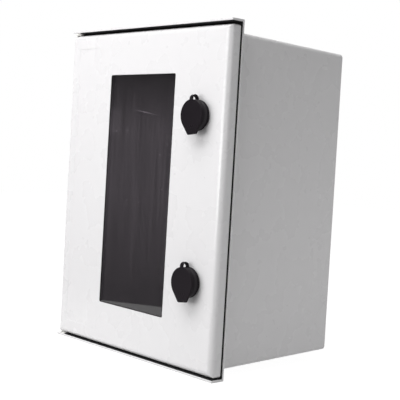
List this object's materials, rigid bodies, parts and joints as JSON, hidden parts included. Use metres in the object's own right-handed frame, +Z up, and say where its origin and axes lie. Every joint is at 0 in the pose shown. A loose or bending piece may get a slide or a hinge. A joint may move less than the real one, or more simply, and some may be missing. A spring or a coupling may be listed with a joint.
{
  "type": "polyester wall enclosure",
  "caption": "Polyester wall enclosure with a windowed hinged door, two black quarter-turn locks under tethered dust caps, and a steel mounting plate inside.",
  "frame": {"origin": "centre of the wall face, which is the centre of the four wall holes", "axes": "+X to the right seen from the front, +Y back into the wall, +Z up"},
  "size_m": [0.3, 0.2231, 0.4],
  "materials": {
    "polyester": "moulded, satin, light grey",
    "black_rubber": "matt extruded rubber",
    "black_nylon": "moulded, fine matt grain",
    "smoked_pane": "smoked clear polycarbonate",
    "galvanised_steel": "hot-dip galvanised, spangled",
    "zinc_steel": "zinc plated",
    "zinc_screws": "zinc plated",
    "pin_steel": "drawn stainless steel",
    "cast_zinc": "die-cast zinc, tumbled",
    "black_polyethylene": "moulded soft polyethylene, fine matt grain",
    "white_acetal": "turned white acetal",
    "brass": "turned brass"
  },
  "bodies": {
    "enclosure": {"enclosure_body": "polyester", "rim_seal": "black_rubber", "strike_screws": "zinc_screws", "mounting_plate": "galvanised_steel", "plate_inserts": "brass", "plate_screws": "zinc_screws", "hinge_pin_upper": "pin_steel", "hinge_washer_upper": "white_acetal", "strike_upper": "zinc_steel", "hinge_pin_lower": "pin_steel", "hinge_washer_lower": "white_acetal", "strike_lower": "zinc_steel"},
    "door": {"door": "polyester", "window_gasket": "black_rubber", "window_pane": "smoked_pane", "pane_retainer": "black_nylon", "retainer_screws": "zinc_screws", "hinge_bush_upper": "black_nylon", "lock_seal_upper": "black_rubber", "lock_housing_upper": "black_nylon", "lock_nut_upper": "zinc_steel", "cover_eyelet_upper": "black_polyethylene", "hinge_bush_lower": "black_nylon", "lock_seal_lower": "black_rubber", "lock_housing_lower": "black_nylon", "lock_nut_lower": "zinc_steel", "cover_eyelet_lower": "black_polyethylene"},
    "lock_upper": {"lock_spindle_upper": "cast_zinc", "lock_cam_upper": "zinc_steel", "cam_screw_upper": "zinc_screws"},
    "cover_upper": {"dust_cover_upper": "black_polyethylene"},
    "lock_lower": {"lock_spindle_lower": "cast_zinc", "lock_cam_lower": "zinc_steel", "cam_screw_lower": "zinc_screws"},
    "cover_lower": {"dust_cover_lower": "black_polyethylene"}
  },
  "joints": [
    {"name": "door_swing", "type": "hinge", "parent": "enclosure", "child": "door", "pos_m": [-0.142, -0.2035, 0], "axis": [0, 0, -1], "range_deg": [0, 170]},
    {"name": "lock_upper_turn", "type": "hinge", "parent": "door", "child": "lock_upper", "pos_m": [0.106, -0.2, 0.0946], "axis": [0, 1, 0], "range_deg": [0, 90]},
    {"name": "cover_upper_swing", "type": "hinge", "parent": "door", "child": "cover_upper", "pos_m": [0.10322, -0.21723, 0.11723], "axis": [-0.9925, 0, -0.1219], "range_deg": [0, 150]},
    {"name": "lock_lower_turn", "type": "hinge", "parent": "door", "child": "lock_lower", "pos_m": [0.106, -0.2, -0.093], "axis": [0, 1, 0], "range_deg": [0, 90]},
    {"name": "cover_lower_swing", "type": "hinge", "parent": "door", "child": "cover_lower", "pos_m": [0.10322, -0.21723, -0.07037], "axis": [-0.9925, 0, -0.1219], "range_deg": [0, 150]}
  ]
}
